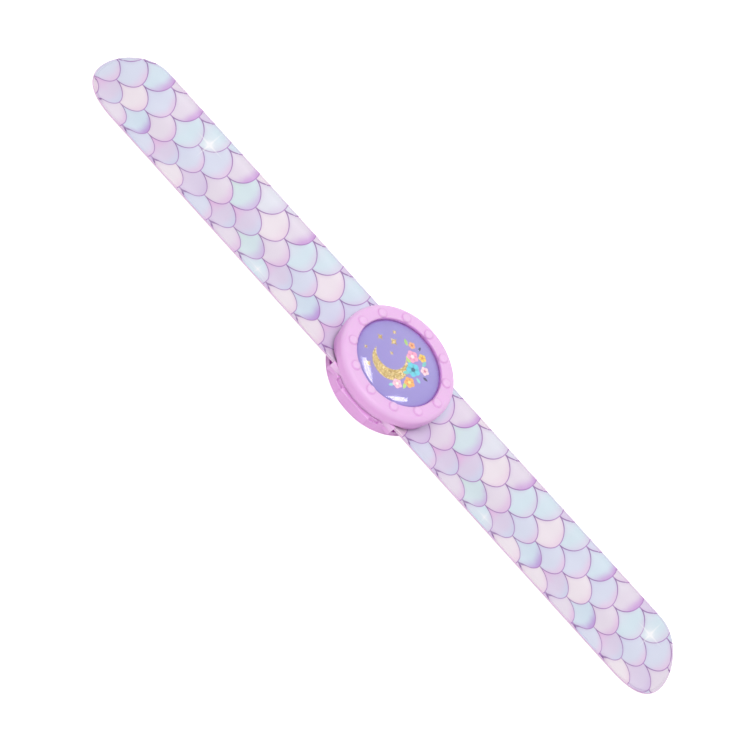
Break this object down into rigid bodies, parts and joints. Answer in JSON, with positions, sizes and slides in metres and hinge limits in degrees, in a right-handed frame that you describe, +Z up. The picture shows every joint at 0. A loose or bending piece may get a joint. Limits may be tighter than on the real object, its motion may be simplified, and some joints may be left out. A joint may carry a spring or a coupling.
{
  "type": "slap bracelet",
  "caption": "Straight slap bracelet: a trough-section band with a fish-scale print, threaded through a round studded case with a domed picture disc.",
  "frame": {"origin": "middle of the case's underside, where the bracelet rests", "axes": "+X along the band, +Y across it, +Z up, out of the printed face and the dome"},
  "size_m": [0.22, 0.0348, 0.011],
  "materials": {
    "printed_vinyl": "satin vinyl printed with pastel fish scales, plain on its back",
    "pink_plastic": "satin moulded plastic, pastel pink",
    "printed_card": "lavender print with a small glitter and flower motif",
    "clear_dome": "clear glossy plastic"
  },
  "bodies": {
    "root": {"band": "printed_vinyl", "case_base": "pink_plastic", "case_top": "pink_plastic", "picture_disc": "printed_card", "dome_cover": "clear_dome"}
  },
  "joints": []
}
